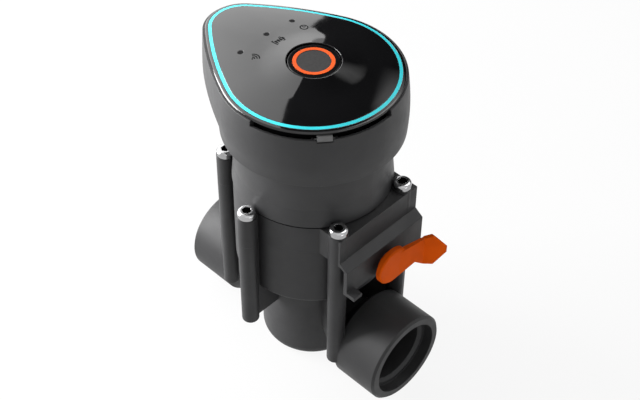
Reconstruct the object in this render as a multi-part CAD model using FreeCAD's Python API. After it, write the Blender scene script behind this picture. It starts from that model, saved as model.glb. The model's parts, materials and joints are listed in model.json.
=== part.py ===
import FreeCAD, Part
import math
import os

# Battery-operated irrigation valve with a round neck, an egg-shaped control unit and a manual lever.
# Millimetres. The origin is the middle of the flat foot, +Z is up, +X points out of the outlet.

V = FreeCAD.Vector
UP = V(0, 0, 1)
OUTWARD = V(1, 0, 0)
os.makedirs("parts", exist_ok=True)

# Working margins: how far joined shapes reach into each other, how close two sizes must be to
# count as the same, and a size that lies outside the whole object
overlap = 1.0
same_size = 1e-4
beyond = 100.0

# Ports: female G 3/4 on one horizontal axis
port_axis_z = 18.0
port_radius = 18.0
port_reach = 48.5
port_edge_chamfer = 0.8
port_collar_start = 29.5
port_collar_cone = 6.0
port_neck_radius = 9.8
mouth_radius = 14.7
mouth_depth = 4.0
thread_major_radius = 13.22
thread_minor_radius = 12.06
thread_length = 13.0
port_passage_radius = 7.5
passage_radius = 10.0

# Valve body
drum_radius = 19.0
drum_foot_fillet = 4.8
shell_radius = 28.4
shell_bottom_z = 43.0
shell_edge_fillet = 1.0
parting_z = 68.4
chamber_radius = 24.0
chamber_floor_z = 47.0
seat_outer_radius = 13.0
seat_z = 62.0
riser_inner_radius = 14.5
riser_outer_radius = 22.0
riser_half_angle = 38.0
riser_wall = 3.0
riser_floor_z = 18.0
inlet_end_x = -13.5

# Screw posts on a regular hexagon
screw_circle_radius = 32.2
screw_count = 6
screw_first_angle = 30.0
post_radius = 3.5
post_tip_radius = 3.2
side_post_bottom_z = 28.0
port_post_bottom_z = 15.0
post_web_thickness = 2.4
side_web_bottom_z = 28.5
port_web_bottom_z = 18.0
post_tip_fillet = 0.8

# Screws
screw_shank_radius = 1.75
screw_head_radius = 3.3
screw_head_height = 2.6
screw_head_fillet = 1.3
screw_length = 31.0
screw_clearance = 0.05
screw_end_room = 1.5
socket_across_flats = 3.0
socket_depth = 1.8
socket_corners = 6

# Bonnet
bonnet_top_z = 80.9
ear_top_z = 81.2
bracket_top_z = 80.5
bonnet_roof = 4.4
bonnet_chamber_radius = 23.6
spigot_radius = 25.0
spigot_wall = 2.6
spigot_height = 5.6
pilot_nozzle_radius = 2.2
pilot_nozzle_height = 1.4
pilot_hole_radius = 0.7
supply_hole_radius = 0.6
supply_hole_x = -3.4

# Lever bracket on the bonnet
bracket_front_x = 31.3
bracket_back_x = 18.0
bracket_left_y = -18.6
bracket_right_y = 20.2
bracket_band_z = 70.2
apron_front_x = 34.8
apron_thickness = 1.6
apron_top_z = 67.8
apron_bottom_z = 56.4
stop_foot_reach = 3.6
stop_foot_width = 4.0
stop_foot_thickness = 1.5
bracket_relief = 0.3

# Lever, its spindle and the boss that carries the spindle
lever_y = 1.0
lever_z = 60.0
lever_hub_radius = 7.3
lever_gap = 0.6
lever_collar_radius = 4.5
lever_collar_length = 1.7
lever_hub_thickness = 2.1
lever_blade_thickness = 1.0
arm_root_reach = 2.8
arm_root_top = 4.8
arm_root_bottom = -6.7
arm_waist_reach = 10.1
arm_waist_bottom = -4.7
arm_fold_reach = 14.1
arm_fold_out = 1.5
arm_fold_top = 4.8
arm_fold_bottom = -8.2
paddle_angle = 49.0
paddle_length = 8.0
paddle_shoulder_reach = 16.4
paddle_shoulder_top = 6.4
paddle_shoulder_bottom = -8.1
paddle_tip_top = 1.8
paddle_tip_bottom = -1.3
lever_edge_chamfer = 0.5
boss_radius = 6.8
boss_end_x = 31.4
boss_pad_half_width = 4.0
spindle_radius = 3.0
spindle_fit = 0.05
spindle_inner_x = 25.8
spindle_end_gap = 0.2
spindle_seal_section = 0.6
spindle_seal_offset = 1.7
spindle_press_depth = 3.0
clip_thickness = 0.6
clip_radius = 4.6
clip_gap = 0.2
clip_groove_depth = 0.6
vent_radius = 0.6
vent_x = 28.8
vent_roof_z = 78.5
vent_return_z = 55.4
vent_rib_half_width = 2.0
vent_seal_radius = 1.5
vent_seal_section = 0.5

# Diaphragm
diaphragm_rim_radius = 26.0
diaphragm_bead_height = 2.4
diaphragm_web = 1.2
diaphragm_neck_radius = 17.5
diaphragm_bead_clearance = 0.1
diaphragm_bead_inner_radius = 23.6
diaphragm_cone_width = 3.0
plate_radius = 14.0
plate_thickness = 2.0
plate_guide_radius = 4.0
plate_guide_wall = 1.4
plate_guide_height = 3.0
spring_radius = 6.4
spring_wire = 1.0

# Solenoid
tube_inner_radius = 4.3
tube_wall = 0.9
tube_flange_radius = 8.0
tube_flange_height = 2.0
pole_length = 4.8
yoke_thickness = 1.6
yoke_half_width = 9.0
yoke_side_x = -14.4
yoke_front_x = 12.0
yoke_foot_x = 19.5
yoke_foot_half_width = 8.0
bobbin_wall = 1.0
bobbin_flange_radius = 12.4
bobbin_flange_thickness = 1.2
coil_radius = 11.8
coil_gap = 0.1
plunger_radius = 4.2
plunger_length = 9.0
plunger_travel = 1.2
plunger_end_gap = 0.1
plunger_seal_radius = 2.6
plunger_seal_height = 1.6
plunger_pocket_radius = 2.2
plunger_pocket_depth = 5.0
plunger_spring_gap = 0.2
plunger_spring_wall = 0.5
magnet_radius = 6.0
magnet_thickness = 1.5
solenoid_seal_section = 0.7
solenoid_screw_radius = 1.4
solenoid_screw_head_radius = 2.4
solenoid_screw_head_height = 1.4
solenoid_screw_x = 16.4
solenoid_screw_y = 5.2
solenoid_screw_length = 6.5
solenoid_slot_width = 0.6
solenoid_slot_depth = 0.7
solenoid_post_radius = 2.6
terminal_y = 3.5
terminal_half_width = 1.4
terminal_thickness = 0.5
terminal_end_x = 15.6

# Egg outline of the control unit, as two round ends joined by two long side arcs.
# These are the radii of the turquoise line; every other outline is this one moved in or out.
egg_wide_x = -0.7
egg_wide_radius = 29.4
egg_tip_x = -33.6
egg_tip_radius = 11.6
egg_side_radius = 121.4

# Control housing: a round neck under a bowl that widens into the egg
neck_collar_radius = 28.7
neck_radius = 28.0
neck_inner_radius = 25.55
neck_waist_rise = 7.6
neck_edge_chamfer = 0.3
neck_seam_height = 0.5
neck_seam_depth = 0.7
neck_seal_section = 0.8
neck_seal_fit = 0.05
floor_room = 3.4
floor_thickness = 1.6
bowl_wall = 1.9
bowl_lip_radius = 32.2
bowl_lip_round = 0.8
bowl_lip_tip_x = -9.2
bowl_lip_tip_radius = 26.2
bowl_flank_rise = 8.0
bowl_flank_wide_x = -0.2
bowl_flank_wide_radius = 32.7
bowl_flank_tip_x = -22.1
bowl_flank_tip_radius = 22.0
bowl_belly_drop = 5.4
bowl_belly_wide_x = -0.5
bowl_belly_wide_radius = 32.5
bowl_belly_tip_x = -30.7
bowl_belly_tip_radius = 16.5
bowl_height = 21.4
bowl_rim_offset = 2.6
recess_middle_angle = -39.0
recess_half_angle = 46.0
recess_depth = 1.9
recess_groove_depth = 5.0
recess_lip = 0.7
cradle_rib_thickness = 1.2
cradle_rib_height = 6.0
cradle_rib_back_x = -18.0
cradle_rib_front_x = 14.0
cradle_gap = 0.1

# Lid
panel_offset = 1.9
panel_line_rise = 1.1
panel_crown = 3.3
panel_grid_step = 2.0
panel_thickness = 1.9
panel_edge_round = 0.6
panel_edge_margin = 0.2
skirt_offset = 0.3
skirt_wall = 1.5
skirt_depth = 7.0
skirt_room_depth = 7.1
collar_radius = 18.5
collar_slope = 0.18
collar_curve = 1.5
line_width = 1.1
line_depth = 0.7
gasket_drop = 6.5
gasket_height = 0.8
gasket_width = 0.95
gasket_fit = 0.05
button_bore_radius = 9.3
button_gap = 0.3
button_rise = 4.8
button_height = 2.8
button_wall = 1.2
button_flange_radius = 10.1
button_flange_height = 0.7
button_travel = 0.5
button_edge_round = 0.5
button_stem_radius = 2.0
button_spring_radius = 4.6
button_spring_wall = 0.6
ring_outer_radius = 7.1
ring_inner_radius = 5.8
ring_depth = 0.6
ring_proud = 0.1
window_x = -22.3
window_pitch = 12.1
window_radius = 1.0
window_flange_radius = 1.6
window_flange_rise = 0.8

# Circuit board and what it carries
board_drop = 1.8
board_thickness = 1.4
board_offset = -1.8
board_boss_radius = 2.2
board_tip_boss_x = -34.0
board_side_boss_x = 6.0
board_side_boss_y = 20.0
board_screw_radius = 0.9
board_screw_head_radius = 1.8
board_screw_head_height = 0.5
board_screw_grip = 1.8
switch_half_side = 3.0
switch_height = 1.6
switch_chamfer = 0.4
led_half_side = 0.8
led_height = 0.7
radio_length = 11.0
radio_width = 8.0
radio_height = 1.2
radio_back_x = 12.0

# Battery and contacts
battery_length = 46.2
battery_width = 26.5
battery_height = 17.5
battery_edge_fillet = 2.0
battery_front_x = 18.6
stud_radius = 2.9
stud_bore_radius = 1.6
stud_length = 2.2
stud_y = 6.35
stud_z_above_middle = 2.0
connector_thickness = 1.6
connector_half_width = 12.0
connector_height = 15.0
lead_thickness = 0.6
lead_y = 9.5
lead_half_width = 1.5
lead_height = 6.0
strip_x = 24.2
strip_thickness = 0.6

# Latch in the finger recess
latch_half_width = 2.5
latch_wing_half_width = 3.4
latch_inner_radius = 30.2
latch_outer_radius = 31.4
latch_wing_thickness = 0.6
latch_drop = 2.7
latch_height = 2.2
latch_travel = 0.6
latch_gap = 0.15
latch_cheek = 0.8


# Helpers
def cylinder(radius, low_z, high_z, x=0.0, y=0.0):
    return Part.makeCylinder(radius, high_z - low_z, V(x, y, low_z), UP)


def cylinder_x(radius, low_x, high_x, y, z):
    return Part.makeCylinder(radius, high_x - low_x, V(low_x, y, z), OUTWARD)


def box(low_x, high_x, low_y, high_y, low_z, high_z):
    return Part.makeBox(high_x - low_x, high_y - low_y, high_z - low_z, V(low_x, low_y, low_z))


def ring(inner_radius, outer_radius, low_z, high_z, x=0.0, y=0.0):
    return cylinder(outer_radius, low_z, high_z, x, y).cut(cylinder(inner_radius, low_z, high_z, x, y))


def revolved(profile):
    wire = Part.makePolygon([V(r, 0, z) for r, z in profile + profile[:1]])
    return Part.Face(wire).revolve(V(0, 0, 0), UP, 360)


def revolved_x(profile, y, z):
    wire = Part.makePolygon([V(x, y, z + r) for x, r in profile + profile[:1]])
    return Part.Face(wire).revolve(V(0, y, z), OUTWARD, 360)


def prism(points, direction):
    return Part.Face(Part.makePolygon(points + points[:1])).extrude(direction)


def sector(inner_radius, outer_radius, middle_angle, half_angle, low_z, high_z):
    start = math.radians(middle_angle - half_angle)
    middle = math.radians(middle_angle)
    end = math.radians(middle_angle + half_angle)

    def on_circle(radius, angle):
        return V(radius * math.cos(angle), radius * math.sin(angle), low_z)

    edges = [
        Part.Arc(*[on_circle(inner_radius, a) for a in (start, middle, end)]).toShape(),
        Part.makeLine(on_circle(inner_radius, end), on_circle(outer_radius, end)),
        Part.Arc(*[on_circle(outer_radius, a) for a in (end, middle, start)]).toShape(),
        Part.makeLine(on_circle(outer_radius, start), on_circle(inner_radius, start)),
    ]
    return Part.Face(Part.Wire(edges)).extrude(V(0, 0, high_z - low_z))


def union(solids):
    return solids[0].multiFuse(solids[1:]).removeSplitter()


def screw_angles():
    return [screw_first_angle + 360.0 / screw_count * i for i in range(screw_count)]


def at_angle(radius, degrees):
    return (radius * math.cos(math.radians(degrees)), radius * math.sin(math.radians(degrees)))


def edges_at(shape, test):
    return [edge for edge in shape.Edges if test(edge)]


def is_circle(edge, radius, z):
    if not isinstance(edge.Curve, Part.Circle):
        return False
    same_radius = abs(edge.Curve.Radius - radius) < same_size
    return same_radius and abs(edge.Curve.Center.z - z) < same_size


def egg_wire(offset, z, wide=None, tip=None):
    # Two arcs round the wide end, one arc on each side and one round the tip, all tangent.
    wide_x, wide_radius = wide or (egg_wide_x, egg_wide_radius)
    tip_x, tip_radius = tip or (egg_tip_x, egg_tip_radius)
    reach_wide = egg_side_radius - wide_radius
    reach_tip = egg_side_radius - tip_radius
    span = wide_x - tip_x
    side_x = wide_x + (reach_tip ** 2 - reach_wide ** 2 - span ** 2) / (2 * span)
    side_y = -math.sqrt(reach_wide ** 2 - (side_x - wide_x) ** 2)
    wide_angle = math.atan2(-side_y, wide_x - side_x)
    tip_angle = math.atan2(-side_y, tip_x - side_x)

    def on_arc(x, y, radius, angle):
        return V(x + (radius + offset) * math.cos(angle), y + (radius + offset) * math.sin(angle), z)

    def mirrored(point):
        return V(point.x, -point.y, point.z)

    front = on_arc(wide_x, 0, wide_radius, 0)
    wide_middle = on_arc(wide_x, 0, wide_radius, wide_angle / 2)
    wide_end = on_arc(wide_x, 0, wide_radius, wide_angle)
    side_middle = on_arc(side_x, side_y, egg_side_radius, (wide_angle + tip_angle) / 2)
    tip_start = on_arc(tip_x, 0, tip_radius, tip_angle)
    tip_middle = on_arc(tip_x, 0, tip_radius, math.pi)
    edges = [
        Part.Arc(front, wide_middle, wide_end).toShape(),
        Part.Arc(wide_end, side_middle, tip_start).toShape(),
        Part.Arc(tip_start, tip_middle, mirrored(tip_start)).toShape(),
        Part.Arc(mirrored(tip_start), mirrored(side_middle), mirrored(wide_end)).toShape(),
        Part.Arc(mirrored(wide_end), mirrored(wide_middle), front).toShape(),
    ]
    return Part.Wire(edges)


def egg_prism(offset, low_z, high_z):
    return Part.Face(egg_wire(offset, low_z)).extrude(V(0, 0, high_z - low_z))


def export(name, shape):
    solid_count = len(shape.Solids)
    assert solid_count > 0 and shape.isValid(), name
    shape.exportStep("parts/" + name + ".step")
    print(name, solid_count, round(shape.Volume, 1))


# Values worked out from the driving sizes
bonnet_roof_z = bonnet_top_z - bonnet_roof
spigot_top_z = bonnet_top_z + spigot_height
thread_start_x = port_reach - mouth_depth
entry_chamfer = thread_major_radius - thread_minor_radius
thread_end_x = thread_start_x - entry_chamfer - thread_length
collar_back_x = apron_front_x + lever_gap
hub_back_x = collar_back_x + lever_collar_length
hub_front_x = hub_back_x + lever_hub_thickness
screw_bottom_z = ear_top_z - screw_length
nozzle_top_z = bonnet_top_z + pilot_nozzle_height
plunger_bottom_z = nozzle_top_z + plunger_seal_height
plunger_top_z = plunger_bottom_z + plunger_length
pole_face_z = plunger_top_z + plunger_travel + plunger_end_gap
solenoid_top_z = pole_face_z + pole_length
yoke_bottom_z = bonnet_top_z + tube_flange_height
bobbin_bottom_z = yoke_bottom_z + yoke_thickness + coil_gap
bobbin_top_z = solenoid_top_z - yoke_thickness - coil_gap
floor_z = solenoid_top_z + floor_room
floor_top_z = floor_z + floor_thickness
bowl_flank_z = floor_top_z + bowl_flank_rise
bowl_rim_z = floor_top_z + bowl_height
bowl_belly_z = bowl_rim_z - bowl_belly_drop
recess_groove_bottom_z = bowl_rim_z - recess_groove_depth
skirt_bottom_z = bowl_rim_z - skirt_depth
skirt_room_z = bowl_rim_z - skirt_room_depth
gasket_bottom_z = bowl_rim_z - gasket_drop
latch_bottom_z = bowl_rim_z - latch_drop
latch_top_z = latch_bottom_z + latch_height
board_top_z = bowl_rim_z - board_drop
board_bottom_z = board_top_z - board_thickness
panel_line_z = bowl_rim_z + panel_line_rise
panel_apex_z = panel_line_z + panel_crown
button_top_z = bowl_rim_z + button_rise
button_bottom_z = button_top_z - button_height
button_flange_top_z = button_bottom_z + button_flange_height
window_flange_bottom_z = bowl_rim_z + window_flange_rise
lid_top_z = panel_apex_z + collar_radius * collar_slope
battery_low_z = floor_top_z
battery_high_z = battery_low_z + battery_height
battery_back_x = battery_front_x - battery_length
stud_z = battery_low_z + battery_height / 2 + stud_z_above_middle
connector_x = battery_front_x + stud_length
strip_bottom_z = floor_z - strip_thickness
rim_bead_low_z = parting_z - diaphragm_bead_height / 2
rim_bead_high_z = parting_z + diaphragm_bead_height / 2
diaphragm_low_z = seat_z
plate_low_z = diaphragm_low_z + diaphragm_web
recess_zone_inner = egg_wide_radius - bowl_wall
recess_zone_outer = egg_wide_radius + 2 * bowl_rim_offset


line_outline = egg_wire(0, 0)


# Valve body
def port_outside(side):
    chamfer = port_edge_chamfer
    profile = [
        (0, 0),
        (0, port_neck_radius),
        (side * (port_collar_start - port_collar_cone), port_neck_radius),
        (side * port_collar_start, port_radius),
        (side * (port_reach - chamfer), port_radius),
        (side * port_reach, port_radius - chamfer),
        (side * port_reach, 0),
    ]
    return revolved_x(profile, 0, port_axis_z)


def port_bore(side, end_x):
    profile = [
        (side * port_reach, 0),
        (side * port_reach, mouth_radius),
        (side * thread_start_x, mouth_radius),
        (side * thread_start_x, thread_major_radius),
        (side * (thread_start_x - entry_chamfer), thread_minor_radius),
        (side * thread_end_x, thread_minor_radius),
        (side * thread_end_x, port_passage_radius),
        (end_x, port_passage_radius),
        (end_x, 0),
    ]
    return revolved_x(profile, 0, port_axis_z)


def drum():
    solid = cylinder(drum_radius, 0, shell_bottom_z)
    foot = edges_at(solid, lambda edge: is_circle(edge, drum_radius, 0))
    return solid.makeFillet(drum_foot_fillet, foot)


def shell():
    solid = cylinder(shell_radius, shell_bottom_z, parting_z)
    edge = edges_at(solid, lambda e: is_circle(e, shell_radius, shell_bottom_z))
    return solid.makeFillet(shell_edge_fillet, edge)


def is_side_post(angle):
    return angle % 180.0 == 90.0


def post_below(angle):
    bottom_z = side_post_bottom_z if is_side_post(angle) else port_post_bottom_z
    x, y = at_angle(screw_circle_radius, angle)
    solid = Part.makeCone(post_tip_radius, post_radius, parting_z - bottom_z, V(x, y, bottom_z), UP)
    tip = edges_at(solid, lambda e: is_circle(e, post_tip_radius, bottom_z))
    return solid.makeFillet(post_tip_fillet, tip)


def web(angle, low_z, high_z, inner_radius):
    half = post_web_thickness / 2
    solid = box(inner_radius, screw_circle_radius, -half, half, low_z, high_z)
    solid.rotate(V(0, 0, 0), UP, angle)
    return solid


def web_below(angle):
    bottom_z = side_web_bottom_z if is_side_post(angle) else port_web_bottom_z
    return web(angle, bottom_z, parting_z, drum_radius - overlap)


def riser_block():
    # Solid behind the inlet port through which the water climbs into the ring-shaped chamber.
    inner = riser_inner_radius - riser_wall
    outer = riser_outer_radius + riser_wall
    half = riser_half_angle + math.degrees(riser_wall / outer)
    return sector(inner, outer, 180, half, riser_floor_z - riser_wall,
                  shell_bottom_z + overlap)


def lever_boss():
    round_part = cylinder_x(boss_radius, chamber_radius + overlap, boss_end_x, lever_y, lever_z)
    pad = box(chamber_radius + overlap, bracket_front_x, lever_y - boss_pad_half_width,
              lever_y + boss_pad_half_width, lever_z, parting_z)
    return union([round_part, pad])


def vent_rib():
    # Bridge across the chamber that carries the vent channel to the outlet side of the seat.
    return box(seat_outer_radius - overlap, chamber_radius + overlap, lever_y - vent_rib_half_width,
               lever_y + vent_rib_half_width, chamber_floor_z - overlap, vent_return_z + vent_rib_half_width)


def chamber():
    lower = ring(seat_outer_radius, chamber_radius, chamber_floor_z, seat_z)
    return lower.fuse(cylinder(chamber_radius, seat_z, parting_z))


def valve_body():
    angles = screw_angles()
    solids = [port_outside(1), port_outside(-1), drum(), shell(), riser_block(), lever_boss()]
    solids += [post_below(angle) for angle in angles]
    solids += [web_below(angle) for angle in angles]
    body = union(solids)
    body = body.cut(chamber()).fuse(vent_rib())
    body = body.cut(cylinder(passage_radius, port_axis_z, seat_z))
    body = body.cut(Part.makeSphere(passage_radius, V(0, 0, port_axis_z)))
    body = body.cut(port_bore(1, 0))
    body = body.cut(port_bore(-1, inlet_end_x))
    body = body.cut(sector(riser_inner_radius, riser_outer_radius, 180, riser_half_angle,
                           riser_floor_z, chamber_floor_z + overlap))
    body = body.cut(ring(chamber_radius - overlap, diaphragm_rim_radius, rim_bead_low_z, parting_z))
    for angle in angles:
        x, y = at_angle(screw_circle_radius, angle)
        hole = cylinder(screw_shank_radius + screw_clearance, screw_bottom_z - screw_end_room, parting_z,
                        x, y)
        body = body.cut(hole)
    spindle_bore = cylinder_x(spindle_radius + spindle_fit, spindle_inner_x, collar_back_x, lever_y, lever_z)
    body = body.cut(spindle_bore)
    body = body.cut(cylinder(vent_radius, vent_return_z, parting_z, vent_x, lever_y))
    body = body.cut(cylinder_x(vent_radius, passage_radius - overlap, vent_x, lever_y, vent_return_z))
    seal_room = ring(vent_radius, vent_seal_radius + vent_seal_section,
                     parting_z - vent_seal_section, parting_z, vent_x, lever_y)
    return body.cut(seal_room).removeSplitter()


# Bonnet
def ear(angle):
    x, y = at_angle(screw_circle_radius, angle)
    return cylinder(post_radius, parting_z, ear_top_z, x, y)


def bracket():
    profile = [
        V(bracket_back_x, bracket_left_y, bracket_top_z),
        V(bracket_front_x, bracket_left_y, bracket_top_z),
        V(bracket_front_x, bracket_left_y, bracket_band_z),
        V(apron_front_x, bracket_left_y, apron_top_z),
        V(apron_front_x, bracket_left_y, apron_bottom_z),
        V(apron_front_x - apron_thickness, bracket_left_y, apron_bottom_z),
        V(apron_front_x - apron_thickness, bracket_left_y, parting_z - apron_thickness / 2),
        V(bracket_front_x + bracket_relief, bracket_left_y, parting_z),
        V(bracket_back_x, bracket_left_y, parting_z),
    ]
    solid = prism(profile, V(0, bracket_right_y - bracket_left_y, 0))
    foot = box(apron_front_x - apron_thickness, apron_front_x + stop_foot_reach, bracket_left_y,
               bracket_left_y + stop_foot_width, apron_bottom_z, apron_bottom_z + stop_foot_thickness)
    return union([solid, foot])


def bonnet():
    angles = screw_angles()
    solids = [cylinder(shell_radius, parting_z, bonnet_top_z), bracket()]
    solids += [ear(angle) for angle in angles]
    solids += [web(angle, parting_z, bracket_top_z, chamber_radius + overlap) for angle in angles]
    solids.append(ring(spigot_radius - spigot_wall, spigot_radius, bonnet_roof_z, spigot_top_z))
    solids.append(cylinder(pilot_nozzle_radius, bonnet_roof_z, nozzle_top_z))
    solids += solenoid_posts()
    body = union(solids)
    body = body.cut(cylinder(bonnet_chamber_radius, parting_z, bonnet_roof_z))
    body = body.cut(ring(bonnet_chamber_radius - overlap, diaphragm_rim_radius, parting_z, rim_bead_high_z))
    body = body.cut(neck_seal_groove())
    seam = ring(shell_radius - neck_seam_depth, shell_radius, bonnet_top_z - neck_seam_height, bonnet_top_z)
    body = body.cut(seam)
    body = body.cut(cylinder(pilot_hole_radius, vent_roof_z, nozzle_top_z))
    body = body.cut(cylinder(supply_hole_radius, bonnet_roof_z, bonnet_top_z, supply_hole_x, 0))
    body = body.cut(solenoid_seal_groove())
    body = body.cut(channel(V(0, 0, vent_roof_z), V(vent_x, lever_y, vent_roof_z)))
    body = body.cut(cylinder(vent_radius, parting_z, vent_roof_z + vent_radius, vent_x, lever_y))
    for angle in angles:
        x, y = at_angle(screw_circle_radius, angle)
        body = body.cut(cylinder(screw_shank_radius + screw_clearance, parting_z, ear_top_z, x, y))
    for y in (-solenoid_screw_y, solenoid_screw_y):
        hole = cylinder(solenoid_screw_radius, yoke_bottom_z + yoke_thickness - solenoid_screw_length,
                        yoke_bottom_z, solenoid_screw_x, y)
        body = body.cut(hole)
    shaft_hole = cylinder_x(spindle_radius + spindle_fit, apron_front_x - apron_thickness, apron_front_x,
                            lever_y, lever_z)
    return body.cut(shaft_hole).removeSplitter()


def channel(start, end):
    direction = end.sub(start)
    return Part.makeCylinder(vent_radius, direction.Length, start, direction)


def neck_seal_centre_z():
    return bonnet_top_z + spigot_height / 2


def neck_seal_groove():
    z = neck_seal_centre_z()
    inner = neck_inner_radius - neck_seal_fit - 2 * neck_seal_section
    return ring(inner, spigot_radius, z - neck_seal_section, z + neck_seal_section)


def neck_seal():
    z = neck_seal_centre_z()
    centre_radius = neck_inner_radius - neck_seal_fit - neck_seal_section
    return Part.makeTorus(centre_radius, neck_seal_section, V(0, 0, z), UP)


def solenoid_seal_radius():
    return tube_flange_radius - 2 * solenoid_seal_section


def solenoid_seal_groove():
    middle = solenoid_seal_radius()
    low_z = bonnet_top_z - 2 * solenoid_seal_section
    return ring(middle - solenoid_seal_section, middle + solenoid_seal_section, low_z, bonnet_top_z)


def solenoid_seal():
    z = bonnet_top_z - solenoid_seal_section
    return Part.makeTorus(solenoid_seal_radius(), solenoid_seal_section, V(0, 0, z), UP)


def vent_seal():
    z = parting_z - vent_seal_section / 2
    return Part.makeTorus(vent_seal_radius, vent_seal_section / 2, V(vent_x, lever_y, z), UP)


# Screws
def hexagon_socket(across_flats, depth, top_z):
    radius = across_flats / 2 / math.cos(math.pi / socket_corners)
    points = []
    for i in range(socket_corners):
        x, y = at_angle(radius, 360.0 / socket_corners * i)
        points.append(V(x, y, top_z))
    return prism(points, V(0, 0, -depth))


def bonnet_screw(angle):
    top_z = ear_top_z + screw_head_height
    head = cylinder(screw_head_radius, ear_top_z, top_z)
    rim = edges_at(head, lambda e: is_circle(e, screw_head_radius, top_z))
    head = head.makeFillet(screw_head_fillet, rim)
    shank = cylinder(screw_shank_radius, screw_bottom_z, ear_top_z)
    screw = union([head, shank]).cut(hexagon_socket(socket_across_flats, socket_depth, top_z))
    x, y = at_angle(screw_circle_radius, angle)
    screw.rotate(V(0, 0, 0), UP, angle)
    screw.translate(V(x, y, 0))
    return screw


def bonnet_screws():
    return Part.makeCompound([bonnet_screw(angle) for angle in screw_angles()])


# Diaphragm group
def diaphragm():
    outer = diaphragm_rim_radius - diaphragm_bead_clearance
    inner = diaphragm_bead_inner_radius
    bead_low = rim_bead_low_z + diaphragm_bead_clearance
    bead_high = rim_bead_high_z - diaphragm_bead_clearance
    web_top = parting_z + diaphragm_web / 2
    web_low = parting_z - diaphragm_web / 2
    cone_top = diaphragm_neck_radius + diaphragm_cone_width
    profile = [
        (outer, bead_low),
        (outer, bead_high),
        (inner, bead_high),
        (inner, web_top),
        (cone_top, web_top),
        (diaphragm_neck_radius, plate_low_z),
        (0, plate_low_z),
        (0, diaphragm_low_z),
        (diaphragm_neck_radius + diaphragm_web, diaphragm_low_z),
        (cone_top + diaphragm_web, web_low),
        (inner, web_low),
        (inner, bead_low),
    ]
    return revolved(profile)


def diaphragm_plate():
    low = plate_low_z
    disc = cylinder(plate_radius, low, low + plate_thickness)
    guide = ring(plate_guide_radius - plate_guide_wall, plate_guide_radius, low,
                 low + plate_thickness + plate_guide_height)
    return union([disc, guide])


def diaphragm_spring():
    low = plate_low_z + plate_thickness
    return ring(spring_radius - spring_wire, spring_radius, low, bonnet_roof_z)


# Solenoid
def solenoid_tube():
    outer = tube_inner_radius + tube_wall
    flange = cylinder(tube_flange_radius, bonnet_top_z, yoke_bottom_z)
    barrel = cylinder(outer, bonnet_top_z, pole_face_z)
    return union([flange, barrel]).cut(cylinder(tube_inner_radius, bonnet_top_z, pole_face_z))


def pole_piece():
    return cylinder(tube_inner_radius + tube_wall, pole_face_z, solenoid_top_z)


def latch_magnet():
    return cylinder(magnet_radius, solenoid_top_z, solenoid_top_z + magnet_thickness)


def solenoid_bobbin():
    hole = tube_inner_radius + tube_wall + coil_gap
    barrel = cylinder(hole + bobbin_wall, bobbin_bottom_z, bobbin_top_z)
    low = cylinder(bobbin_flange_radius, bobbin_bottom_z, bobbin_bottom_z + bobbin_flange_thickness)
    high = cylinder(bobbin_flange_radius, bobbin_top_z - bobbin_flange_thickness, bobbin_top_z)
    return union([barrel, low, high]).cut(cylinder(hole, bobbin_bottom_z, bobbin_top_z))


def solenoid_coil():
    inner = tube_inner_radius + tube_wall + coil_gap + bobbin_wall
    return ring(inner, coil_radius, bobbin_bottom_z + bobbin_flange_thickness,
                bobbin_top_z - bobbin_flange_thickness)


def solenoid_yoke():
    half = yoke_half_width
    bottom = box(yoke_side_x, yoke_front_x, -half, half, yoke_bottom_z, yoke_bottom_z + yoke_thickness)
    foot = box(yoke_front_x, yoke_foot_x, -yoke_foot_half_width, yoke_foot_half_width,
               yoke_bottom_z, yoke_bottom_z + yoke_thickness)
    top = box(yoke_side_x, yoke_front_x, -half, half, solenoid_top_z - yoke_thickness, solenoid_top_z)
    side = box(yoke_side_x, yoke_side_x + yoke_thickness, -half, half, yoke_bottom_z, solenoid_top_z)
    solid = union([bottom, foot, top, side])
    solid = solid.cut(cylinder(tube_inner_radius + tube_wall, yoke_bottom_z, solenoid_top_z))
    for y in (-solenoid_screw_y, solenoid_screw_y):
        hole = cylinder(solenoid_screw_radius + screw_clearance, yoke_bottom_z,
                        yoke_bottom_z + yoke_thickness, solenoid_screw_x, y)
        solid = solid.cut(hole)
    return solid


def solenoid_posts():
    # Two posts on the bonnet under the yoke's foot, as tall as the tube's flange.
    posts = []
    for y in (-solenoid_screw_y, solenoid_screw_y):
        posts.append(cylinder(solenoid_post_radius, bonnet_top_z - overlap, yoke_bottom_z,
                              solenoid_screw_x, y))
    return posts


def solenoid_screws():
    screws = []
    seat = yoke_bottom_z + yoke_thickness
    for y in (-solenoid_screw_y, solenoid_screw_y):
        shank = cylinder(solenoid_screw_radius, seat - solenoid_screw_length, seat, solenoid_screw_x, y)
        head = cylinder(solenoid_screw_head_radius, seat, seat + solenoid_screw_head_height,
                        solenoid_screw_x, y)
        slot = box(solenoid_screw_x - solenoid_screw_head_radius,
                   solenoid_screw_x + solenoid_screw_head_radius,
                   y - solenoid_slot_width / 2, y + solenoid_slot_width / 2,
                   seat + solenoid_screw_head_height - solenoid_slot_depth, seat + solenoid_screw_head_height)
        screws.append(union([shank, head]).cut(slot))
    return Part.makeCompound(screws)


def plunger_seal():
    return cylinder(plunger_seal_radius, nozzle_top_z, plunger_bottom_z)


def solenoid_plunger():
    solid = cylinder(plunger_radius, plunger_bottom_z, plunger_top_z)
    pocket = cylinder(plunger_pocket_radius, plunger_top_z - plunger_pocket_depth, plunger_top_z)
    return solid.cut(pocket)


def plunger_spring():
    outer = plunger_pocket_radius - plunger_spring_gap
    return ring(outer - plunger_spring_wall, outer, plunger_top_z - plunger_pocket_depth, pole_face_z)


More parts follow.
